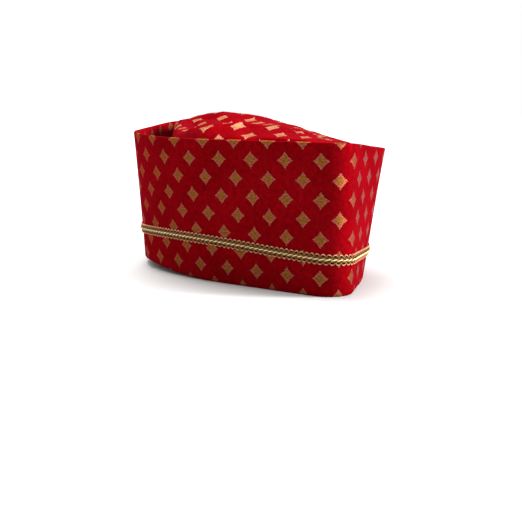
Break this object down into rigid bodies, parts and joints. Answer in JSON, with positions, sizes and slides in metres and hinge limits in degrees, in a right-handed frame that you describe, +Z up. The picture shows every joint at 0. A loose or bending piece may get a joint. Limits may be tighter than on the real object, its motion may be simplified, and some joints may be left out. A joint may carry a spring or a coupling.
{
  "type": "wedding cap",
  "caption": "Fold-flat brocade cap with a tall turned-up cuff, a soft domed crown between two creases, and a braid sewn round the cuff.",
  "frame": {"origin": "middle of the cap's box, on the surface that its bottom edge stands on", "axes": "+Y from the front crease to the rear crease, +Z up"},
  "size_m": [0.1568, 0.2568, 0.1036],
  "materials": {
    "cuff_brocade": "satin weave with woven gold diamonds",
    "crown_brocade": "satin weave with woven gold diamonds, plain back inside",
    "gold_braid": "metallic gimp cord"
  },
  "bodies": {
    "root": {"cuff": "cuff_brocade", "crown": "crown_brocade", "braid": "gold_braid"}
  },
  "joints": []
}
